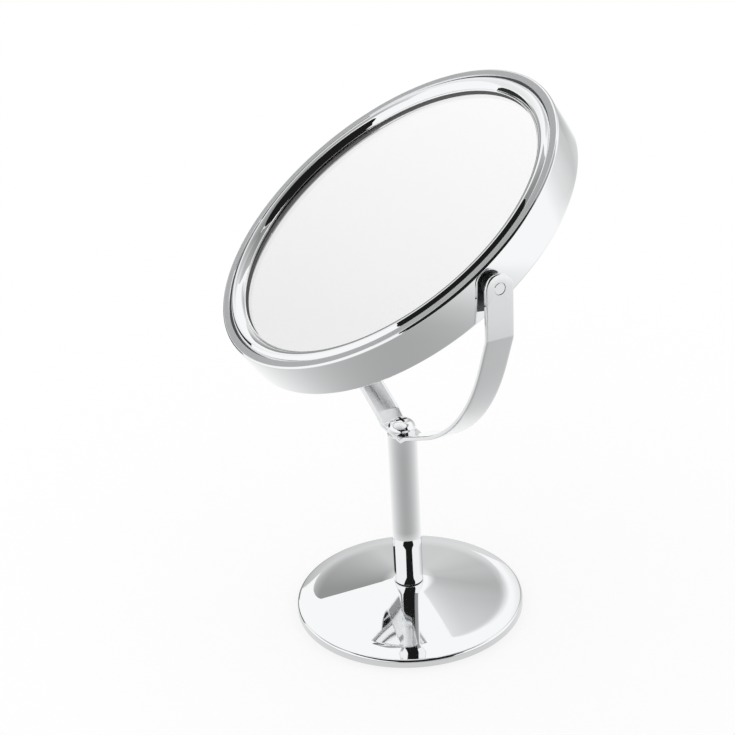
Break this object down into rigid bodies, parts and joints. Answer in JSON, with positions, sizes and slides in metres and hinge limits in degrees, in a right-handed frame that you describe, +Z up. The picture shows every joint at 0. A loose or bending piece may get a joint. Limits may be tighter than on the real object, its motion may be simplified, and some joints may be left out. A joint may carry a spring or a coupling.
{
  "type": "table mirror",
  "caption": "Round double-sided table mirror whose head tilts in a bent strap yoke, on a post with a weighted round base.",
  "frame": {"origin": "middle of the base's underside, on the table", "axes": "+Z up along the post, X along the head's tilt axis, and the front glass faces -Y and up at rest"},
  "size_m": [0.1242, 0.1026, 0.1707],
  "materials": {
    "chrome": "polished",
    "satin_chrome": "satin",
    "mirror": "silvered glass",
    "cast_iron": "as cast",
    "felt": "felt",
    "steel": "zinc plated",
    "grey_board": "grey board",
    "foam": "closed-cell foam",
    "nylon": "moulded"
  },
  "bodies": {
    "stand": {"base_shell": "chrome", "base_weight": "cast_iron", "base_pad": "felt", "base_bolt": "steel", "base_spring_washer": "steel", "base_plain_washer": "steel", "post_tube": "chrome", "post_foot_insert": "steel", "post_top_insert": "steel", "yoke_strap": "satin_chrome", "yoke_screw": "chrome"},
    "mirror_head": {"head_band": "satin_chrome", "front_bezel": "chrome", "rear_bezel": "chrome", "front_glass": "mirror", "rear_glass": "mirror", "backing_board": "grey_board", "foam_ring": "foam", "right_pivot_stud": "steel", "left_pivot_stud": "steel", "right_stud_plate": "steel", "left_stud_plate": "steel", "right_pivot_bush": "nylon", "left_pivot_bush": "nylon"}
  },
  "joints": [
    {"name": "head_tilt", "type": "hinge", "parent": "stand", "child": "mirror_head", "pos_m": [0, 0, 0.13231], "axis": [1, 0, 0], "continuous": true}
  ]
}
